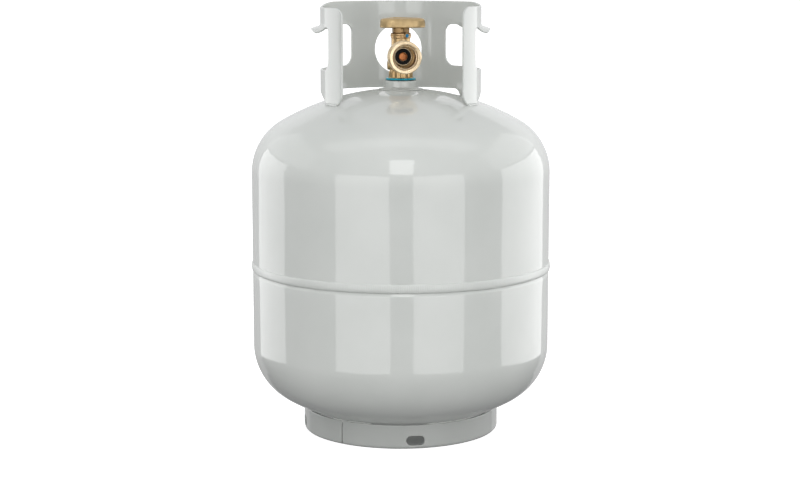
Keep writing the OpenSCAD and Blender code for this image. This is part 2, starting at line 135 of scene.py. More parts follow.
def make_object(name, points, faces, normals=None, sharp=None, matrix=None):
    """Mesh object from points in millimetres; sharp is the angle above which an edge stays hard."""
    points = np.asarray(points, float).reshape(-1, 3)
    if matrix is not None:
        m = np.array(matrix)
        points = points @ m[:3, :3].T + m[:3, 3]
    mesh = bpy.data.meshes.new(name)
    faces = faces.tolist() if isinstance(faces, np.ndarray) else faces
    mesh.from_pydata((points * MM).tolist(), [], faces)
    if normals is None:
        bm = bmesh.new()
        bm.from_mesh(mesh)
        bmesh.ops.remove_doubles(bm, verts=bm.verts, dist=1e-7)
        bmesh.ops.recalc_face_normals(bm, faces=bm.faces)
        bm.to_mesh(mesh)
        bm.free()
    mesh.shade_smooth()
    if sharp is not None:
        mesh.set_sharp_from_angle(angle=math.radians(sharp))
    if normals is not None:
        mesh.normals_split_custom_set_from_vertices(np.asarray(normals).tolist())
    obj = bpy.data.objects.new(name, mesh)
    bpy.context.scene.collection.objects.link(obj)
    return obj


def loft_faces(rows, columns, close_rows=True):
    """Quads over a grid of points whose columns always close on themselves."""
    grid = np.arange(rows * columns).reshape(rows, columns)
    a = grid if close_rows else grid[:-1]
    b = np.roll(grid, -1, axis=0) if close_rows else grid[1:]
    quads = np.stack([a, np.roll(a, -1, axis=1), np.roll(b, -1, axis=1), b], -1)
    return quads.reshape(-1, 4)


def lathe(name, profile, segments=192, shift=None, closed=True, sharp=40, matrix=None):
    """Surface of revolution about Z; shift(angle, r, z) moves each point out along its radius."""
    profile = np.array(profile, float)
    angle = np.linspace(0, TAU, segments, endpoint=False)[None, :]
    r, z = profile[:, :1], profile[:, 1:2]
    radius = r + (shift(angle, r, z) if shift else 0) + 0 * angle
    height = z + 0 * angle
    points = np.stack([radius * np.sin(angle), -radius * np.cos(angle), height], -1)
    faces = loft_faces(len(profile), segments, closed)
    return make_object(name, points, faces, sharp=sharp, matrix=matrix)


def polar_loft(name, rings, segments=240, sharp=40, matrix=None):
    """Closed surface through rings given as (radius as a function of angle, height)."""
    angle = np.linspace(0, TAU, segments, endpoint=False)
    points = []
    for radius, z in rings:
        r = radius(angle) if callable(radius) else np.full(segments, float(radius))
        points.append(np.stack([r * np.sin(angle), -r * np.cos(angle), np.full(segments, z)], -1))
    return make_object(name, np.array(points), loft_faces(len(rings), segments), sharp=sharp,
                       matrix=matrix)


def rounded(corners, closed=True, arc_step=15.0, spacing=None):
    """Outline through (x, y, fillet radius) corners, with long edges split to spacing."""
    out = []
    count = len(corners)
    for i, (x, y, r) in enumerate(corners):
        p = np.array([x, y], float)
        if r <= 0 or (not closed and i in (0, count - 1)):
            out.append(p)
            continue
        before = np.array(corners[i - 1][:2], float) - p
        after = np.array(corners[(i + 1) % count][:2], float) - p
        u, v = before / np.linalg.norm(before), after / np.linalg.norm(after)
        half = math.acos(max(-1.0, min(1.0, float(u @ v)))) / 2
        if half > math.pi / 2 - 1e-3:
            out.append(p)
            continue
        cut = min(r / math.tan(half), 0.49 * np.linalg.norm(before), 0.49 * np.linalg.norm(after))
        r = cut * math.tan(half)
        centre = p + (u + v) / np.linalg.norm(u + v) * r / math.sin(half)
        a0 = math.atan2(*(p + u * cut - centre)[::-1])
        sweep = (math.atan2(*(p + v * cut - centre)[::-1]) - a0 + math.pi) % TAU - math.pi
        steps = max(2, math.ceil(abs(math.degrees(sweep)) / arc_step))
        out += [centre + r * np.array([math.cos(a0 + sweep * k / steps),
                                       math.sin(a0 + sweep * k / steps)])
                for k in range(steps + 1)]
    if spacing is None:
        return out
    split = []
    for i, p in enumerate(out):
        q = out[(i + 1) % len(out)]
        if i == len(out) - 1 and not closed:
            split.append(p)
            break
        parts = max(1, math.ceil(np.linalg.norm(q - p) / spacing))
        split += [p + (q - p) * k / parts for k in range(parts)]
    return split


def inset(loop, amount):
    """Moves a closed outline to the left of its direction, which is where the metal is."""
    loop = np.asarray(loop)
    ahead = np.roll(loop, -1, axis=0) - loop
    ahead /= np.linalg.norm(ahead, axis=1)[:, None]
    back = np.roll(ahead, 1, axis=0)
    left = np.stack([-ahead[:, 1], ahead[:, 0]], -1)
    left_back = np.stack([-back[:, 1], back[:, 0]], -1)
    mean = left + left_back
    mean /= np.linalg.norm(mean, axis=1)[:, None]
    stretch = 1 / np.maximum((mean * left).sum(1), 0.5)
    return loop + mean * (amount * stretch)[:, None], mean


def inside(points, loop):
    """Which points lie inside a closed outline."""
    x, y = points[:, 0][:, None], points[:, 1][:, None]
    x0, y0 = loop[:, 0][None], loop[:, 1][None]
    x1, y1 = np.roll(loop, -1, axis=0).T[:, None]
    crosses = (y0 > y) != (y1 > y)
    with np.errstate(divide="ignore", invalid="ignore"):
        at = x0 + (y - y0) * (x1 - x0) / (y1 - y0)
    return (np.sum(crosses & (x < at), axis=1) % 2) == 1


def gap_to(points, loop):
    """Shortest distance from each point to an outline's own points."""
    best = np.full(len(points), np.inf)
    for p in loop:
        best = np.minimum(best, np.hypot(points[:, 0] - p[0], points[:, 1] - p[1]))
    return best


def sheet_metal(name, outer, holes, thickness, edge_r, shape, rows, column_step):
    """Pressed sheet: a flat blank with rounded edges, bent by shape(s, z) into its place.
    shape returns the mid-surface point and the directions along s, along z and outwards."""
    loops = [np.asarray(outer)] + [np.asarray(h) for h in holes]
    rings = []
    for k, angle in enumerate((0, 30, 60, 90, 90, 60, 30, 0)):
        side = 1 if k < 4 else -1
        rings.append((edge_r * (1 - math.sin(math.radians(angle))),
                      side * (thickness / 2 - edge_r * (1 - math.cos(math.radians(angle)))),
                      math.sin(math.radians(angle)), side * math.cos(math.radians(angle))))
    flat, normal, faces, first_ring, total = [], [], [], [], 0
    for loop in loops:
        count = len(loop)
        start = total
        for offset, depth, out_n, depth_n in rings:
            moved, mean = inset(loop, offset)
            flat.append(np.column_stack([moved, np.full(count, depth)]))
            normal.append(np.column_stack([-mean * out_n, np.full(count, depth_n)]))
        for k in range(len(rings) - 1):
            a = start + k * count + np.arange(count)
            b = np.roll(a, -1)
            faces += np.stack([a, a + count, b + count, b], -1).tolist()
        first_ring.append((start, count))
        total += count * len(rings)
    front_loops = [inset(loop, edge_r)[0] for loop in loops]
    low, high = loops[0].min(0), loops[0].max(0)
    columns = np.arange(low[0] + column_step / 2, high[0], column_step)
    grid = np.stack(np.meshgrid(columns, rows), -1).reshape(-1, 2)
    keep = inside(grid, front_loops[0])
    for hole in front_loops[1:]:
        keep &= ~inside(grid, hole)
    grid = grid[keep]
    for loop in front_loops:
        grid = grid[gap_to(grid, loop) > 0.9]
    rim_points = np.concatenate(front_loops)
    edges, at = [], 0
    for loop in front_loops:
        edges += [(at + i, at + (i + 1) % len(loop)) for i in range(len(loop))]
        at += len(loop)
    cdt = delaunay_2d_cdt([tuple(p) for p in np.concatenate([rim_points, grid])], edges, [], 1, 1e-5)
    source = [min(ids) for ids in cdt[3]]
    triangles = np.array([[source[i] for i in t] for t in cdt[2]])
    everything = np.concatenate([rim_points, grid])
    centres = everything[triangles].mean(1)
    keep = inside(centres, front_loops[0])
    for hole in front_loops[1:]:
        keep &= ~inside(centres, hole)
    triangles = triangles[keep]
    front_index = np.concatenate([start + np.arange(count) for start, count in first_ring]
                                 + [total + np.arange(len(grid))])
    back_index = np.concatenate(
        [start + (len(rings) - 1) * count + np.arange(count) for start, count in first_ring]
        + [total + len(grid) + np.arange(len(grid))])
    for side in (1, -1):
        flat.append(np.column_stack([grid, np.full(len(grid), side * thickness / 2)]))
        normal.append(np.column_stack([np.zeros((len(grid), 2)), np.full(len(grid), side)]))
    faces += front_index[triangles].tolist() + back_index[triangles[:, ::-1]].tolist()
    flat, normal = np.concatenate(flat), np.concatenate(normal)
    middle, along, up, out = shape(flat[:, 0], flat[:, 1])
    points = middle + out * flat[:, 2:3]
    normals = along * normal[:, 0:1] + up * normal[:, 1:2] + out * normal[:, 2:3]
    normals /= np.linalg.norm(normals, axis=1)[:, None]
    return make_object(name, points, faces, normals=normals)


def modifier_result(obj, sharp=None):
    """Applies an object's modifiers to its mesh."""
    graph = bpy.context.evaluated_depsgraph_get()
    mesh = bpy.data.meshes.new_from_object(obj.evaluated_get(graph))
    obj.modifiers.clear()
    obj.data = mesh
    mesh.shade_smooth()
    if sharp is not None:
        mesh.set_sharp_from_angle(angle=math.radians(sharp))
    return obj


def joined(name, parts):
    """One object from several overlapping ones."""
    bm = bmesh.new()
    for part in parts:
        bm.from_mesh(part.data)
        bpy.data.objects.remove(part)
    mesh = bpy.data.meshes.new(name)
    bm.to_mesh(mesh)
    bm.free()
    obj = bpy.data.objects.new(name, mesh)
    bpy.context.scene.collection.objects.link(obj)
    return obj


def casting(name, parts, voxel, rounds):
    """Joins overlapping solids and melts their edges together as a forging's are."""
    obj = joined(name, parts)
    remesh = obj.modifiers.new("melt", "REMESH")
    remesh.mode = "VOXEL"
    remesh.voxel_size = voxel * MM
    smooth = obj.modifiers.new("soften", "SMOOTH")
    smooth.factor = 0.5
    smooth.iterations = rounds
    return modifier_result(obj)


def drilled(obj, cutters, sharp=35):
    """Cuts holes with clean edges in a casting."""
    for cutter in cutters:
        cut = obj.modifiers.new("cut", "BOOLEAN")
        cut.operation = "DIFFERENCE"
        cut.solver = "EXACT"
        cut.object = cutter
    modifier_result(obj, sharp)
    for cutter in cutters:
        bpy.data.objects.remove(cutter)
    return obj


def plug_shape(name, r, z0, z1, matrix, segments=96):
    """Plain round solid from z0 to z1, for joining or cutting."""
    profile = [(0, z0), (r, z0), (r, z1), (0, z1)]
    return lathe(name, profile, segments, closed=False, matrix=matrix)


def wobble(seed, waves, size):
    """Smooth periodic unevenness round a full turn."""
    rng = np.random.default_rng(seed)
    low, high = waves
    phase = rng.uniform(0, TAU, high - low)
    weight = rng.uniform(0.4, 1.0, high - low)
    weight *= size / weight.sum()

    def value(angle):
        return sum(w * np.sin(k * angle + p)
                   for k, p, w in zip(range(low, high), phase, weight))
    return value


def smoothstep(x, a, b):
    t = np.clip((x - a) / (b - a), 0, 1)
    return t * t * (3 - 2 * t)


# Materials

class Shader:
    """Principled material with small helpers to wire procedural nodes."""

    def __init__(self, name, **settings):
        self.material = bpy.data.materials.new(name)
        self.material.use_nodes = True
        self.tree = self.material.node_tree
        self.bsdf = self.tree.nodes["Principled BSDF"]
        for key, value in settings.items():
            self.bsdf.inputs[key.replace("_", " ")].default_value = value
        self.place = self.node("ShaderNodeTexCoord").outputs["Object"]

    def node(self, kind, inputs=None, **settings):
        made = self.tree.nodes.new(kind)
        for key, value in settings.items():
            setattr(made, key, value)
        for key, value in (inputs or {}).items():
            if isinstance(value, bpy.types.NodeSocket):
                self.tree.links.new(value, made.inputs[key])
            else:
                made.inputs[key].default_value = value
        return made

    def noise(self, scale, detail=2.0, vector=None):
        return self.node("ShaderNodeTexNoise", {"Vector": vector or self.place, "Scale": scale,
                                                "Detail": detail}).outputs["Fac"]

    def math(self, operation, a, b=0.0):
        return self.node("ShaderNodeMath", {0: a, 1: b}, operation=operation).outputs[0]

    def spread(self, value, low, high, start=0.3, end=0.7):
        """Maps a noise value between start and end to the range from low to high."""
        return self.node("ShaderNodeMapRange", {"Value": value, "From Min": start, "From Max": end,
                                                "To Min": low, "To Max": high}).outputs["Result"]

    def mix(self, factor, a, b):
        made = self.node("ShaderNodeMix", {"Factor": factor}, data_type="RGBA")
        for socket, value in ((made.inputs[6], a), (made.inputs[7], b)):
            if isinstance(value, bpy.types.NodeSocket):
                self.tree.links.new(value, socket)
            else:
                socket.default_value = (*value, 1)
        return made.outputs[2]

    def set(self, key, socket):
        self.tree.links.new(socket, self.bsdf.inputs[key])

    def bumps(self, *layers):
        """Relief from (height, depth in metres) layers, laid one on the other."""
        normal = None
        for height, depth in layers:
            inputs = {"Height": height, "Distance": depth, "Strength": 1.0}
            if normal is not None:
                inputs["Normal"] = normal
            normal = self.node("ShaderNodeBump", inputs).outputs["Normal"]
        self.set("Normal", normal)
        self.tree.links.new(normal, self.bsdf.inputs["Coat Normal"])

    def rings(self, axis, pitch):
        """Wave along an axis, as a turning tool leaves it."""
        along = self.node("ShaderNodeVectorMath", {0: self.place, 1: axis},
                          operation="DOT_PRODUCT").outputs["Value"]
        return self.math("SINE", self.math("MULTIPLY", along, TAU / (pitch * MM)))


def enamel(name, weld_ripple=0.0, shade=1.0):
    """Light grey gloss enamel: orange peel, faint sheet waviness, a few dust nibs."""
    s = Shader(name, Roughness=0.42, Coat_Weight=1.0, Coat_Roughness=0.03, Coat_IOR=1.6)
    cloud = s.noise(14.0, 3.0)
    # shade below 1 darkens both tones as painted shade, for a part that sits in shadow
    tones = [[v * shade for v in tone] for tone in ((0.565, 0.585, 0.560), (0.605, 0.622, 0.598))]
    s.set("Base Color", s.mix(s.spread(cloud, 0, 1), *tones))
    s.set("Coat Roughness", s.spread(s.noise(35.0), 0.02, 0.05))
    nibs = s.spread(s.noise(900.0, 0.0), 0, 1, 0.80, 0.86)
    layers = [(s.noise(7.0, 1.0), 0.0011), (s.noise(420.0, 1.5), 0.000022), (nibs, 0.00004)]
    if weld_ripple:
        x, y, _ = s.node("ShaderNodeSeparateXYZ", {"Vector": s.place}).outputs
        turn = s.math("ARCTAN2", y, x)
        jitter = s.math("MULTIPLY", s.noise(300.0), 2.5)
        wave = s.math("SINE", s.math("ADD", s.math("MULTIPLY", turn, 560.0), jitter))
        layers.append((wave, weld_ripple * MM))
    s.bumps(*layers)
    return s.material


def metal(name, dark, light, roughness, grain, grain_depth, rings=None, metallic=1.0):
    """Bare metal with cloudy tone, grain and, where turned, the tool's rings."""
    s = Shader(name, Metallic=metallic)
    s.set("Base Color", s.mix(s.spread(s.noise(160.0, 4.0), 0, 1), dark, light))
    s.set("Roughness", s.spread(s.noise(400.0, 3.0), roughness - 0.06, roughness + 0.08))
    layers = [(s.noise(grain, 3.0), grain_depth * MM)]
    if rings:
        axis, pitch, depth = rings
        layers.append((s.rings(axis, pitch), depth * MM))
    s.bumps(*layers)
    return s.material


def moulded(name, dark, light, roughness, grain, grain_depth, sheen=0.5):
    """Rubber, plastic or paste, with a matt grain."""
    s = Shader(name, Specular_IOR_Level=sheen)
    s.set("Base Color", s.mix(s.spread(s.noise(220.0, 3.0), 0, 1), dark, light))
    s.set("Roughness", s.spread(s.noise(500.0, 2.0), roughness - 0.05, roughness + 0.1))
    s.bumps((s.noise(grain, 2.0), grain_depth * MM))
    return s.material


def sealant():
    """Thread paste: blue where it squeezed out, near black where it stays in the joint's shadow."""
    s = Shader("sealant_blue", Roughness=0.32)
    height = s.node("ShaderNodeSeparateXYZ", {"Vector": s.place}).outputs[2]
    uneven = s.math("MULTIPLY", s.noise(260.0, 2.0), 0.0006)
    line = s.spread(s.math("ADD", height, uneven), 0, 1, (NECK_Z + 0.9) * MM, (NECK_Z + 1.25) * MM)
    blue = s.mix(s.spread(s.noise(180.0, 3.0), 0, 1), (0.0, 0.30, 0.42), (0.0, 0.45, 0.58))
    s.set("Base Color", s.mix(line, (0.006, 0.010, 0.012), blue))
    s.bumps((s.noise(500.0, 3.0), 0.0003))
    return s.material


outlet_axis = (math.sin(math.radians(VALVE_TURN)), -math.cos(math.radians(VALVE_TURN)), 0)

PAINT = enamel("tank_enamel")
WELD_PAINT = enamel("weld_enamel", weld_ripple=0.045)
# Painted shade: the foot ring wears the tank's enamel, darkened for the shadow under the tank.
RING_SHADED_PAINT = enamel("foot_ring_enamel_painted_shade", shade=0.70)
FORGED = metal("forged_brass", (0.40, 0.26, 0.12), (0.60, 0.43, 0.23), 0.32, 900.0, 0.05)
TURNED = metal("turned_brass", (0.70, 0.55, 0.35), (0.82, 0.67, 0.47), 0.30, 1500.0, 0.003,
               rings=(outlet_axis, 0.22, 0.001))
# Brass colour, darkened further as painted shade for the handwheel's shadow on the bonnet.
BONNET_BRASS_SHADED = metal("bonnet_brass_with_painted_shade", (0.42, 0.27, 0.13), (0.58, 0.40, 0.21), 0.36, 1100.0, 0.03)
WHEEL = metal("wheel_bronze", (0.46, 0.33, 0.17), (0.57, 0.42, 0.22), 0.42, 1400.0, 0.02,
              metallic=0.85)
# Painted shade: a dark copy of the bonnet brass for the hub in the handwheel's shadow.
HUB_SHADED_BRASS = metal("hub_brass_painted_shade", (0.24, 0.15, 0.07), (0.36, 0.24, 0.12), 0.34, 1100.0, 0.03)
MACHINED = metal("machined_brass", (0.70, 0.52, 0.28), (0.80, 0.62, 0.36), 0.26, 1300.0, 0.008,
                 rings=((0, 0, 1), 0.25, 0.004))
COPPER = metal("copper_alloy", (0.30, 0.10, 0.035), (0.46, 0.18, 0.07), 0.30, 1200.0, 0.01)
ZINC = metal("zinc_steel", (0.50, 0.50, 0.48), (0.62, 0.61, 0.58), 0.32, 900.0, 0.008)
SPRING = metal("spring_steel", (0.36, 0.36, 0.36), (0.52, 0.52, 0.52), 0.28, 1600.0, 0.006)
RUBBER = moulded("black_rubber", (0.002, 0.002, 0.002), (0.006, 0.006, 0.007), 0.50, 900.0, 0.02,
                0.15)
ACETAL = moulded("white_acetal", (0.68, 0.68, 0.66), (0.76, 0.76, 0.74), 0.40, 700.0, 0.01)
RED_ACETAL = moulded("red_acetal", (0.45, 0.03, 0.02), (0.56, 0.05, 0.03), 0.40, 700.0, 0.01)
FOAM = moulded("float_foam", (0.025, 0.025, 0.028), (0.05, 0.05, 0.055), 0.75, 1500.0, 0.12, 0.3)
LOCK_BLUE = moulded("lock_blue", (0.0, 0.16, 0.36), (0.0, 0.24, 0.50), 0.35, 600.0, 0.02)
SEALANT = sealant()


def finish_piece(obj, material, body, slot, *nodes):
    """Gives a piece its material and body, and lets it stand for the CAD nodes; slot is not used."""
    obj.data.materials.clear()
    obj.data.materials.append(material)
    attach(obj, body)
    if nodes:
        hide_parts(*nodes)
    return obj


# Tank shells

def head(offset):
    """Half profile of a dished head from its rim to its top, above its tangent line."""
    meet = math.asin((TANK_R - KNUCKLE_R) / (CROWN_R - KNUCKLE_R))
    knuckle = [(TANK_R - KNUCKLE_R + (KNUCKLE_R - offset) * math.cos(a),
                (KNUCKLE_R - offset) * math.sin(a))
               for a in np.linspace(0, math.pi / 2 - meet, 36)]
    crown = [((CROWN_R - offset) * math.sin(a), (CROWN_R - offset) * math.cos(a) - CROWN_DROP)
             for a in np.linspace(meet, 0, 40)[1:]]
    return knuckle + crown


def dome_height(r):
    """Height of the tank's top surface at a distance from the axis."""
    return HIGH_TANGENT + math.sqrt(CROWN_R ** 2 - r ** 2) - CROWN_DROP


def wall_points(r, z0, z1, count=16):
    return [(r, z) for z in np.linspace(z0, z1, count)]


SHELL_SEGMENTS = 360


def upper_shell():
    outer = [(r, HIGH_TANGENT + z) for r, z in head(0) if r > SPUD_R]
    hole_outer = (SPUD_R, dome_height(SPUD_R))
    inner = [(r, HIGH_TANGENT + z) for r, z in head(WALL) if r > SPUD_R]
    hole_inner = (SPUD_R, dome_height(SPUD_R) - WALL)
    edge = 0.6
    profile = ([(TANK_R - edge, SEAM_Z), (TANK_R, SEAM_Z + edge)]
               + wall_points(TANK_R, SEAM_Z + edge + 0.5, HIGH_TANGENT - 0.5) + outer + [hole_outer]
               + [hole_inner] + inner[::-1]
               + wall_points(TANK_R - WALL, HIGH_TANGENT - 0.5, SEAM_Z + 0.5)
               + [(TANK_R - WALL, SEAM_Z)])
    return lathe("upper_shell_skin", profile, SHELL_SEGMENTS)


def lower_shell():
    """Lower half, with the shallow draw ridge under the joggle that shows below the weld."""
    shoulder = SEAM_Z - 6.0
    outer = [(r, LOW_TANGENT - z) for r, z in head(0)]
    inner = [(r, LOW_TANGENT - z) for r, z in head(WALL)]
    inner_lap = LAP_R - WALL
    outer_lap = rounded([(LAP_R, SEAM_Z + LAP_H, 0), (LAP_R, shoulder + 4.6, 3),
                         (TANK_R, shoulder - 0.2, 3), (TANK_R, shoulder - 8, 0)], closed=False)
    inside_lap = rounded([(TANK_R - WALL, shoulder - 8, 0), (TANK_R - WALL, shoulder, 3),
                          (inner_lap, shoulder + 4.0, 3), (inner_lap, SEAM_Z + LAP_H, 0)],
                         closed=False)
    profile = ([tuple(p) for p in outer_lap]
               + wall_points(TANK_R, shoulder - 8.5, LOW_TANGENT + 0.5) + outer
               + inner[::-1] + wall_points(TANK_R - WALL, LOW_TANGENT + 0.5, shoulder - 8.5)
               + [tuple(p) for p in inside_lap])
    return lathe("lower_shell_skin", profile, SHELL_SEGMENTS)


def girth_weld():
    """Weld crown with an uneven edge, wandering a little in height and width."""
    low, high = box_mm("girth_weld")
    out = float(high[0]) - TANK_R
    middle, half = float(low[2] + high[2]) / 2, float(high[2] - low[2]) / 2
    rise = wobble(3, (2, 60), 0.55)
    wander = wobble(4, (2, 26), 0.5)
    swell = wobble(5, (1, 4), 0.25)
    segments = 1080
    angle = np.linspace(0, TAU, segments, endpoint=False)
    rings = []
    root = 2.4
    for t in np.radians(np.arange(-90, 271, 10)[:-1]):
        bulge = out * (0.80 + rise(angle) * 0.5 + swell(angle))
        r = TANK_R + np.where(math.cos(t) > 0, bulge * abs(math.cos(t)) ** 0.8,
                              -root * abs(math.cos(t)))
        z = middle + wander(angle) + (half - 0.6 + rise(angle) * 0.8) * math.sin(t)
        rings.append(np.stack([r * np.sin(angle), -r * np.cos(angle), z], -1))
    return make_object("girth_weld_bead", np.array(rings), loft_faces(len(rings), segments))


finish_piece(upper_shell(), PAINT, "tank", "tank_paint", "upper_shell")
finish_piece(lower_shell(), PAINT, "tank", "tank_paint", "lower_shell")
finish_piece(girth_weld(), WELD_PAINT, "tank", "tank_paint", "girth_weld")


# Neck

def neck_spud():
    low, high = box_mm("neck_spud")
    bore = 13.25
    profile = rounded([(bore, low[2], 0), (SPUD_R, low[2], 0.8), (SPUD_R, high[2], 1.0),
                       (bore, high[2], 0.5)], spacing=3.0)
    return lathe("neck_spud_skin", profile, 160, sharp=50)


def neck_weld():
    """Flared fillet between spud and dome, thrown up unevenly as a hand weld is."""
    low, high = box_mm("neck_weld")
    lift = wobble(11, (2, 22), 0.55)
    outer = float(high[0])
    profile = rounded([(SPUD_R - 0.6, low[2] - 1.4, 0), (outer - 0.9, low[2] - 1.4, 0),
                       (outer - 0.7, DOME_TOP - 1.1, 0.3), (outer - 0.05, DOME_TOP - 0.75, 0.3),
                       (outer - 0.5, DOME_TOP - 0.1, 0.4), (20.4, DOME_TOP + 0.3, 1.5),
                       (17.8, DOME_TOP + 0.95, 1.5), (SPUD_R - 0.6, high[2], 0.5)], spacing=0.7)
    shift = lambda angle, r, z: lift(angle) * smoothstep(r, SPUD_R, 20.0)
    return lathe("neck_weld_fillet", profile, 240, shift, sharp=None)


def sealant_ring():
    push = wobble(21, (2, 18), 0.35)
    z = NECK_Z
    profile = rounded([(13.3, z, 0), (15.7, z, 0.3), (15.8, z + 0.9, 0.3), (14.6, z + 1.2, 0.2),
                       (15.3, z + 1.5, 0.3), (15.1, z + 2.4, 0.5), (13.3, z + 2.6, 0)], spacing=0.4)
    shift = lambda angle, r, h: push(angle) * smoothstep(r, 14.0, 15.6)
    return lathe("sealant_bead", profile, 220, shift, sharp=None)


finish_piece(neck_spud(), PAINT, "tank", "tank_paint", "neck_spud")
finish_piece(neck_weld(), WELD_PAINT, "tank", "tank_paint", "neck_weld")
finish_piece(sealant_ring(), SEALANT, "tank", "blue_sealant", "sealant_ring")


# Guard collar

def collar_shape(s, z):
    """Bends the flat collar blank: round the tank axis, and out under the windows' top edges."""
    angle = s / COLLAR_R
    side = np.abs((np.degrees(angle) + 180) % 360 - 180)
    bend_z = DOME_TOP + LIP_ROOT_UP
    start, full, last, end = LIP_FADE
    curl = smoothstep(side, start, full) * (1 - smoothstep(side, last, end))
    below = np.where(z > DOME_TOP + BACK_HOLE_UP + 5, np.maximum(bend_z - z, 0), 0)
    bend = np.minimum(below / LIP_BEND_R, LIP_BEND * curl)
    straight = below - LIP_BEND_R * bend
    out = LIP_BEND_R * (1 - np.cos(bend)) + straight * np.sin(bend)
    down = LIP_BEND_R * np.sin(bend) + straight * np.cos(bend)
    radius = COLLAR_R - COLLAR_T / 2 + out
    height = np.where(below > 0, bend_z - down, z)
    turn = angle + math.radians(COLLAR_TURN)
    radial = np.stack([np.sin(turn), -np.cos(turn), 0 * turn], -1)
    upright = np.array([0, 0, 1.0])
    middle = radial * radius[:, None] + upright * height[:, None]
    along = np.stack([np.cos(turn), np.sin(turn), 0 * turn], -1)
    up = -radial * np.sin(bend)[:, None] + upright * np.cos(bend)[:, None]
    outwards = radial * np.cos(bend)[:, None] + upright * np.sin(bend)[:, None]
    return middle, along, up, outwards


def guard_collar():
    per_degree = COLLAR_R * math.radians(1)
    foot = FOOT_BOTTOM - 1.6
    right = [(FRONT_FOOT[0], foot, 2), (FRONT_FOOT[1], foot, 2), (82.0, COLLAR_BAND, 12),
             (106.0, COLLAR_BAND, 8), (REAR_FOOT[0], foot, 2), (REAR_FOOT[1], foot, 2),
             (130.0, COLLAR_BAND, 8)]
    left = [(360 - a, z, r) for a, z, r in right[::-1]]
    half_top, left_top = ([(level, RIM_Z, 60), (level - RIM_RAMP, RIM_Z - dip, 60),
                           (POST_EDGE[0], RIM_Z - dip, 10.5), (POST_EDGE[1], COLLAR_BAND - 2.5, 8)]
                          for level, dip in zip(RIM_LEVEL, RIM_DIP))
    top = [(360 - a, z, r) for a, z, r in left_top[::-1]] + half_top
    outer = rounded([(a * per_degree, z, r) for a, z, r in right + left + top], spacing=2.2)
    low, high = DOME_TOP + WINDOW_LOW_UP, DOME_TOP + WINDOW_HIGH_UP
    root = DOME_TOP + LIP_ROOT_UP
    lip_edge = root - LIP_BEND_R * LIP_BEND - LIP_FLAT
    a0, a1 = WINDOW
    window = [(a0, low, WINDOW_CORNER), (a0, high - 2.5, 8.0), (69.5, high - 2.0, 4.0),
              (78.0, lip_edge, 6.0), (122.0, lip_edge, 6.0), (131.0, high - 1.5, 4.0),
              (a1, high - 1.5, 9.0), (a1, low, WINDOW_CORNER)]
    mirrored = [(360 - a, z, r) for a, z, r in window[::-1]]
    holes = [rounded([(a * per_degree, z, r) for a, z, r in corners], spacing=1.6)
             for corners in (window, mirrored)]
    turn = np.linspace(0, TAU, 110, endpoint=False)
    hole_z = DOME_TOP + BACK_HOLE_UP
    holes.append([(180 * per_degree + BACK_HOLE_R * math.sin(t), hole_z + BACK_HOLE_R * math.cos(t))
                  for t in turn])
    rows = np.concatenate([np.arange(FOOT_BOTTOM + 2, lip_edge, 3.5),
                           np.arange(lip_edge, root + 1.5, 0.7), np.arange(root + 3.5, RIM_Z, 3.0)])
    return sheet_metal("guard_collar_sheet", outer, holes, COLLAR_T, 0.75, collar_shape, rows, 3.0)


def bead(name, radius, height, a0, a1, size, seed, segments=72):
    """Short weld bead round the tank axis between two angles, thinning out at its ends."""
    uneven = wobble(seed, (3, 40), 0.45)
    sides = np.linspace(0, TAU, 14, endpoint=False)
    rows = []
    for t in np.linspace(0, 1, segments):
        angle = math.radians(a0 + (a1 - a0) * t)
        taper = min(1.0, math.sqrt(max(0.0, 1 - (2 * t - 1) ** 14)) + 0.02)
        r = size * taper * (1 + float(uneven(np.array(t * 3.0))))
        ring_r = radius + r * np.cos(sides)
        rows.append(np.stack([ring_r * math.sin(angle), -ring_r * math.cos(angle),
                              height + r * np.sin(sides)], -1))
    faces = loft_faces(segments, len(sides), close_rows=False).tolist()
    faces += [list(range(len(sides))),
              list(range((segments - 1) * len(sides), segments * len(sides)))]
    return make_object(name, rows, faces)


def collar_welds():
    """Thin fillets where each foot of the collar stands on the dome, outside and inside."""
    beads = []
    size = 1.5
    feet = [(52.8, 66.2), (110.8, 125.4)]
    for f, (start, end) in enumerate(feet):
        for mirror in (1, -1):
            for k, r in enumerate((COLLAR_R + 0.3, COLLAR_R - COLLAR_T - 0.3)):
                a0, a1 = sorted((mirror * start + COLLAR_TURN, mirror * end + COLLAR_TURN))
                beads.append(bead("b", r, dome_height(r) + 0.4, a0, a1, size,
                                  31 + 4 * f + 2 * k + mirror))
    return joined("collar_weld_beads", beads)


finish_piece(guard_collar(), PAINT, "tank", "tank_paint", "guard_collar", "grip_lips")
finish_piece(collar_welds(), WELD_PAINT, "tank", "tank_paint", "collar_welds")


# Foot ring

def ring_shape(s, z):
    """Bends the flat strip round the tank axis and its lower edge inwards as a flange."""
    angle = s / RING_R + math.radians(RING_SEAM)
    mid_r = RING_BEND_R - RING_T / 2
    below = np.maximum(RING_BEND_R - z, 0)
    bend = np.minimum(below / mid_r, math.pi / 2)
    straight = np.maximum(below - mid_r * math.pi / 2, 0)
    radius = RING_R - RING_T / 2 - mid_r * (1 - np.cos(bend)) - straight
    height = np.where(below > 0, RING_BEND_R - mid_r * np.sin(bend), z)
    radial = np.stack([np.sin(angle), -np.cos(angle), 0 * angle], -1)
    upright = np.array([0, 0, 1.0])
    middle = radial * radius[:, None] + upright * height[:, None]
    along = np.stack([np.cos(angle), np.sin(angle), 0 * angle], -1)
    up = radial * np.sin(bend)[:, None] + upright * np.cos(bend)[:, None]
    outwards = radial * np.cos(bend)[:, None] - upright * np.sin(bend)[:, None]
    return middle, along, up, outwards


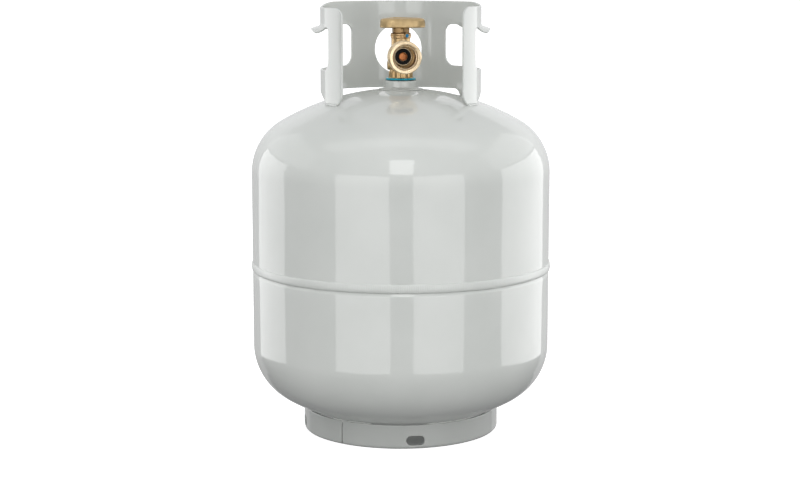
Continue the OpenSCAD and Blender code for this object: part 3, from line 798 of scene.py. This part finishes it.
def foot_ring():
    length, height, centre = SLOT
    mid_r = RING_BEND_R - RING_T / 2
    flat_low = RING_BEND_R - mid_r * math.pi / 2 - (RING_R - RING_T / 2 - mid_r - RING_FLANGE_R)
    gap = 0.5
    around = TAU * RING_R
    outer = rounded([(gap, flat_low, 1.3), (around - gap, flat_low, 1.3), (around - gap, RING_H, 1.3),
                     (gap, RING_H, 1.3)], spacing=3.0)
    holes = []
    for k in range(4):
        s = math.radians(FIRST_SLOT + 90 * k - RING_SEAM) % TAU * RING_R
        half, h = length / 2, height / 2
        slot = rounded([(s - half, centre - h, h), (s - half, centre + h, h),
                        (s + half, centre + h, h), (s + half, centre - h, h)],
                       arc_step=8, spacing=1.2)
        holes.append(slot)
    rows = np.concatenate([np.arange(flat_low + 1, -1, 2.0), np.arange(0.2, RING_BEND_R + 0.6, 0.45),
                           np.arange(RING_BEND_R + 1.5, RING_H, 3.0)])
    return sheet_metal("foot_ring_band", outer, holes, RING_T, 0.7, ring_shape, rows, 3.0)


def foot_ring_welds():
    beads = [bead("b", RING_R - RING_T - 0.7, RING_H - 0.9, 60 * k + 15, 60 * k + 43, 2.1, 50 + k)
             for k in range(6)]
    return joined("foot_ring_weld_beads", beads)


finish_piece(foot_ring(), RING_SHADED_PAINT, "tank", "tank_paint", "foot_ring")
finish_piece(foot_ring_welds(), WELD_PAINT, "tank", "tank_paint", "foot_ring_welds")


# Valve

def radial_matrix(angle, up):
    """Turns a lathe's own axis to point out of the valve at an angle and height."""
    return (VALVE @ Matrix.Rotation(math.radians(angle), 4, "Z") @ Matrix.Translation((0, 0, up))
            @ Matrix.Rotation(math.radians(90), 4, "X"))


def ribbed(angle):
    """Radius of the wrench base, a core with round ribs standing out of it."""
    pitch = 360 / RIBS
    off = np.radians((np.degrees(angle) - 15 + pitch / 2) % pitch - pitch / 2)
    rib_at = BASE_R - RIB_R
    rib = rib_at * np.cos(off) + np.sqrt(np.maximum(RIB_R ** 2 - (rib_at * np.sin(off)) ** 2, 0))
    return np.maximum(rib, CORE_R)


def valve_forging():
    base_top = 11.2
    base = polar_loft("f", [(0.01, 1.6), (12.0, 1.6), (ribbed, 2.2), (ribbed, 8.6),
                            (lambda a: ribbed(a) * 0.3 + 8.0, 9.6), (11.2, base_top), (0.01, base_top)],
                      360, matrix=VALVE)
    shank = plug_shape("f", 13.25, -16.0, 2.4, VALVE)
    waist = lathe("f", [(0, 9), (11.2, 9), (11.6, 13), (11.4, 18), (10.6, 23), (0, 23)], 96,
                  closed=False, matrix=VALVE)
    barrel = plug_shape("f", 9.8, 20, 43.4, VALVE)
    neck = lathe("f", [(0, 0), (12.6, 2), (13.0, 12), (13.2, 20.5), (0, 20.5)], 96, closed=False,
                 matrix=OUTLET)
    relief = lathe("f", [(0, 0), (8.0, 0), (8.0, 23.4), (7.6, 24), (0, 24)], 72, closed=False,
                   matrix=radial_matrix(180, 13))
    bleed = lathe("f", [(0, 0), (5.6, 6), (4.8, 11), (4.6, 13.6), (4.2, 14), (0, 14)], 72,
                  closed=False, matrix=radial_matrix(-90, 15.5))
    body = casting("valve_forging", [base, shank, waist, barrel, neck, relief, bleed], 0.36, 4)
    cutters = [plug_shape("c", 5.5, 10, 26, radial_matrix(180, 13), 64),
               plug_shape("c", 2.55, 10.5, 15, radial_matrix(-90, 15.5), 48),
               plug_shape("c", 9.05, 15, 22, OUTLET, 96),
               plug_shape("c", 7.0, 8, 17, OUTLET, 64),
               plug_shape("c", 6.6, 20, 45, VALVE, 64)]
    return drilled(body, cutters)


def thread(angle, along, pitch, depth, crest, hand=1):
    """Depth of a screw thread cut at each point; crest is the share of the pitch left full."""
    phase = (along / pitch - hand * angle / TAU) % 1.0
    flank = (1 - 2 * crest) / 2
    down = np.clip((phase - crest) / flank, 0, 1) - np.clip((phase - crest - flank - crest)
                                                           / max(flank, 1e-6), 0, 1)
    return -depth * down


def valve_outlet():
    """Turned outlet: coarse outer thread, chamfers, fine inner thread and the seal's seat."""
    outer_r, pitch = 16.67, 5.08
    inner_r, fine = 11.24, 1.814
    mouth = OUTLET_REACH
    profile = [(9.05, 18.8), (13.6, 18.8), (14.0, 19.4), (14.0, 20.6)]
    start = len(profile)
    profile += [(outer_r, z) for z in np.arange(20.8, mouth - 1.4, 0.2)]
    profile += [(outer_r, mouth - 1.4), (15.9, mouth - 0.12), (15.75, mouth),
                (13.15, mouth), (12.95, mouth - 0.1), (12.35, mouth - 1.2)]
    profile += [(12.1, mouth - 1.4), (11.9, mouth - 2.2)]
    profile += [(inner_r, z) for z in np.arange(mouth - 2.6, 25.0, -0.12)]
    profile += [(inner_r, 25.0), (9.3, 22.9), (9.05, 22.5)]

    def shift(angle, r, z):
        outside = (np.abs(r - outer_r) < 1e-6) * (z < mouth - 1.0)
        fade = smoothstep(z, 20.8, 22.0) * (1 - smoothstep(z, mouth - 2.6, mouth - 1.3))
        cut = thread(angle, z, pitch, 2.3, 0.22) * fade - 2.3 * (1 - smoothstep(z, 20.8, 22.2))
        inner = (np.abs(r - inner_r) < 1e-6) * (z > 26.0) * (z < mouth - 2.5)
        ridge = -thread(angle, z, fine, 0.10, 0.2, hand=-1) - 0.05
        return outside * cut + inner * ridge
    return lathe("valve_outlet_turned", profile, 256, shift, sharp=28, matrix=OUTLET)


def valve_bonnet():
    """Bonnet nut: flange with a parting ridge and lock-pin boss, under a chamfered hex hub."""
    def hexagon(angle):
        sector_angle = (angle - math.radians(33.8) + math.pi / 6) % (math.pi / 3) - math.pi / 6
        return np.minimum(8.3 / np.cos(sector_angle), 9.35)
    flange = polar_loft("f", [(0.01, 43.5), (10.2, 43.5), (10.5, 43.9), (10.5, 45.7), (10.85, 45.95),
                              (10.85, 46.25), (10.5, 46.5), (10.5, 47.8), (10.1, 48.4), (9.3, 48.7),
                              (0.01, 48.7)], 180, matrix=VALVE)
    boss = lathe("f", [(0, 4), (3.5, 6), (3.3, 9.5), (3.1, 11.3), (2.8, 11.6), (0, 11.6)], 60,
                 closed=False, matrix=radial_matrix(BOSS_AT, BOSS_UP))
    body = casting("bonnet_flange", [flange, boss], 0.24, 3)
    drilled(body, [plug_shape("c", 1.92, 8.2, 13, radial_matrix(BOSS_AT, BOSS_UP), 40),
                   plug_shape("c", 4.0, 40, 56, VALVE, 64)])
    lower, upper = (lambda a: np.minimum(hexagon(a), 8.6)), (lambda a: np.minimum(hexagon(a), 8.7))
    hub = polar_loft("bonnet_hub", [(4.0, 48.2), (8.2, 48.2), (lower, 48.6), (hexagon, 49.4),
                                    (hexagon, 53.0), (upper, 53.8), (8.0, 54.0), (4.0, 54.0)],
                     240, sharp=30, matrix=VALVE)
    return body, hub


def lobed(grow):
    """Outline of the wheel, a triangle with three big round lobes, as a radius for each angle."""
    def radius(angle):
        turn = (angle + math.pi / 3) % (TAU / 3) - math.pi / 3
        r = LOBE_R + grow
        tangent = math.atan2(r * math.sin(math.pi / 3), LOBE_AT + r * math.cos(math.pi / 3))
        across = LOBE_AT * np.sin(turn)
        round_part = LOBE_AT * np.cos(turn) + np.sqrt(np.maximum(r ** 2 - across ** 2, 0))
        flat_part = (LOBE_AT / 2 + r) / np.cos(np.abs(turn) - math.pi / 3)
        return np.where(np.abs(turn) < tangent, round_part, flat_part)
    return radius


def handwheel():
    low, top = float(wheel_low_mm[2]) - NECK_Z, float(wheel_high_mm[2]) - NECK_Z
    square = lambda a: 2.8 / np.maximum(np.abs(np.cos(a)), np.abs(np.sin(a)))
    rings = [(lobed(-3.0), low), (lobed(-0.9), low), (lobed(-0.3), low + 0.3),
             (lobed(-0.05), low + 0.9), (lobed(0.0), low + 1.8), (lobed(-0.10), low + 4.0),
             (lobed(-0.35), top - 3.6)]
    corner = 3.0
    for step in range(1, 7):
        t = math.radians(15 * step)
        rings.append((lobed(-0.35 - corner * (1 - math.cos(t))), top - 3.6 + corner * math.sin(t)))
    rings += [(lobed(-4.6), top - 0.35), (lobed(-5.8), top - 0.12), (lobed(-7.0), top),
              (lobed(-8.0), top - 0.2), (lobed(-8.8), top - 1.1), (7.0, top - 1.3),
              (6.2, top - 1.35), (5.8, top - 1.5), (5.6, top - 1.9), (5.6, WASHER_UP),
              (square, WASHER_UP), (square, low + 0.2), (6.2, low), (6.5, low + 0.3),
              (6.7, low + 3.6), (7.4, low + 4.2), (lobed(-4.6), low + 4.2), (lobed(-3.6), low + 3.8),
              (lobed(-3.1), low + 2.8)]
    turned = VALVE @ Matrix.Rotation(math.radians(WHEEL_TURN), 4, "Z")
    return polar_loft("handwheel_casting", rings, 360, sharp=45, matrix=turned)


def outlet_seal():
    profile = rounded([(4.6, 19.4, 0.2), (8.3, 19.4, 0.2), (8.3, 22.4, 0.7), (4.6, 22.4, 0.9)],
                      spacing=0.5)
    return lathe("outlet_seal_ring", profile, 128, sharp=None, matrix=OUTLET)


def check_retainer():
    profile = rounded([(4.3, 16.0, 0.2), (9.0, 16.0, 0.3), (9.0, 20.6, 0.2), (8.3, 20.6, 0.15),
                       (8.3, 19.4, 0), (4.3, 19.4, 0.25)], spacing=0.6)
    return lathe("check_retainer_ring", profile, 128, sharp=35, matrix=OUTLET)


def check_plunger():
    profile = rounded([(0, 12, 0), (2, 12, 0.3), (2, 14.4, 0.2), (6.3, 14.4, 0.3), (6.3, 16, 0.3),
                       (4.2, 16, 0.3), (4.2, 21, 0.3), (3.6, 21, 0.25), (3.4, 17.4, 0.3),
                       (0, 17.2, 0)], closed=False, spacing=0.5)
    return lathe("check_plunger_turned", profile, 96, closed=False, sharp=35, matrix=OUTLET)


finish_piece(valve_forging(), FORGED, "tank", "valve_brass", "valve_body")
finish_piece(valve_outlet(), TURNED, "tank", "machined_brass", "valve_body")
bonnet_flange, bonnet_hub = valve_bonnet()
finish_piece(bonnet_flange, BONNET_BRASS_SHADED, "tank", "valve_brass", "bonnet")
finish_piece(bonnet_hub, HUB_SHADED_BRASS, "tank", "valve_brass", "bonnet")
finish_piece(handwheel(), WHEEL, "spindle", "wheel_brass", "handwheel")
finish_piece(outlet_seal(), RUBBER, "tank", "black_rubber", "outlet_seal")
finish_piece(check_retainer(), TURNED, "tank", "machined_brass", "check_retainer")
finish_piece(check_plunger(), COPPER, "outlet_check", "copper_alloy", "check_plunger")

# CAD nodes that stay as they are, with the finish each real one has.
KEPT = {
    "bonnet_lock_pin": LOCK_BLUE, "stem": MACHINED, "stem_o_rings": RUBBER,
    "handwheel_washer": ZINC, "handwheel_screw": ZINC, "plug": MACHINED, "seat_disc": ACETAL,
    "check_spring": SPRING, "relief_poppet": MACHINED, "relief_seal": RUBBER,
    "relief_spring": SPRING, "relief_adjuster": MACHINED, "bleed_screw": ZINC,
    "dip_tube": MACHINED, "opd_housing": ACETAL, "opd_poppet": RED_ACETAL, "float_pin": ZINC,
    "float_arm": ACETAL, "float": FOAM,
}
for node_name, material in KEPT.items():
    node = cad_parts[node_name]
    if not node.data.materials:
        node.data.materials.append(material)
    for i in range(len(node.data.materials)):
        node.data.materials[i] = material


# Studio

def sweep():
    """Pale floor that curves up into the backdrop."""
    half_width, front, back, bend_r, top = 14.0, -60.0, 5.0, 3.0, 9.0
    turn = np.linspace(0, math.pi / 2, 25)
    line = ([(front, 0.0)] + [(back + bend_r * math.sin(t), bend_r * (1 - math.cos(t))) for t in turn]
            + [(back + bend_r, top)])
    points = [(x, y, z) for y, z in line for x in (-half_width, half_width)]
    faces = [(2 * i, 2 * i + 1, 2 * i + 3, 2 * i + 2) for i in range(len(line) - 1)]
    mesh = bpy.data.meshes.new("studio_floor")
    mesh.from_pydata(points, [], faces)
    mesh.shade_smooth()
    obj = bpy.data.objects.new("studio_floor", mesh)
    bpy.context.scene.collection.objects.link(obj)
    s = Shader("studio_paper", Roughness=0.9, Specular_IOR_Level=0.1, Emission_Color=(1, 1, 1, 1))
    # The paper glows to stay evenly white; the glow stops inside the foot ring, painted shade for the
    # floor under the tank.
    from_axis = s.node("ShaderNodeVectorMath", {0: s.place}, operation="LENGTH").outputs["Value"]
    painted_shade_r = (RING_R - 3.5) * MM
    s.set("Emission Strength", s.spread(from_axis, 0, 0.75, painted_shade_r, painted_shade_r + 0.002))
    s.set("Base Color", s.mix(s.spread(s.noise(3.0), 0, 1), (0.80, 0.80, 0.80), (0.82, 0.82, 0.82)))
    obj.data.materials.append(s.material)
    # The paper throws no light back on the tank, whose underside stays dark.
    obj.visible_diffuse = False
    obj.visible_glossy = False


def softbox(name, azimuth, distance, width, height, centre_z, radiance, down=0):
    """Panel facing the tank, tipped down by an angle; radiance is what it shows in a mirror."""
    light = bpy.data.lights.new(name, "AREA")
    light.shape = "RECTANGLE"
    light.size, light.size_y = width, height
    light.energy = radiance * math.pi * width * height
    obj = bpy.data.objects.new(name, light)
    bpy.context.scene.collection.objects.link(obj)
    a = math.radians(azimuth)
    obj.location = (distance * math.sin(a), -distance * math.cos(a), centre_z)
    aim = Matrix.Rotation(a, 4, "Z") @ Matrix.Rotation(math.radians(90 - down), 4, "X")
    obj.rotation_euler = aim.to_euler()
    obj.visible_camera = False
    return obj


def panel(name, from_azimuth, to_azimuth, radiance, low=-0.35, high=0.75, distance=1.7):
    half = math.radians(to_azimuth - from_azimuth) / 2
    return softbox(name, (from_azimuth + to_azimuth) / 2, distance,
                   2 * distance * math.tan(half), high - low, (low + high) / 2, radiance)


sweep()
panel("left_rear_panel", -136, -96, 1.35)
panel("left_back_panel", -178, -136, 0.27, low=-0.7, high=1.3)
panel("left_high_panel", -140, -75, 0.4, low=0.8, high=1.9)
panel("left_front_panel", -48, -8, 1.5)
panel("right_front_panel", 9, 47, 1.5)
panel("right_rear_panel", 80, 137, 1.6)
panel("right_back_panel", 137, 178, 0.34, low=-0.7, high=1.3)
panel("right_high_panel", 75, 140, 0.55, low=0.8, high=1.9)
softbox("key_panel", 1, 2.3, 0.80, 1.30, 1.75, 2.6, down=32)
softbox("overhead_panel", 0, 0.35, 5.0, 1.2, 3.2, 0.5, down=90)

world = bpy.data.worlds.new("studio")
bpy.context.scene.world = world
world.use_nodes = True
tree = world.node_tree
sky = tree.nodes["Background"]
sky.inputs["Color"].default_value = (0.98, 0.99, 1.0, 1)
direction = tree.nodes.new("ShaderNodeTexCoord")
split = tree.nodes.new("ShaderNodeSeparateXYZ")
fall = tree.nodes.new("ShaderNodeMapRange")
for key, value in {"From Min": -0.3, "From Max": 0.3, "To Min": 0.25, "To Max": 0.72}.items():
    fall.inputs[key].default_value = value
tree.links.new(direction.outputs["Generated"], split.inputs[0])
tree.links.new(split.outputs["Z"], fall.inputs["Value"])
tree.links.new(fall.outputs["Result"], sky.inputs["Strength"])

camera_data = bpy.data.cameras.new("photo_view")
camera_data.lens = 82.0
camera_data.sensor_width = 36.0
camera = bpy.data.objects.new("photo_view", camera_data)
camera.location = (-0.0008, -1.890, 0.487)
camera.rotation_euler = (math.radians(81.01), 0, 0)
bpy.context.scene.collection.objects.link(camera)
bpy.context.scene.camera = camera
bpy.context.scene.view_settings.view_transform = "Standard"
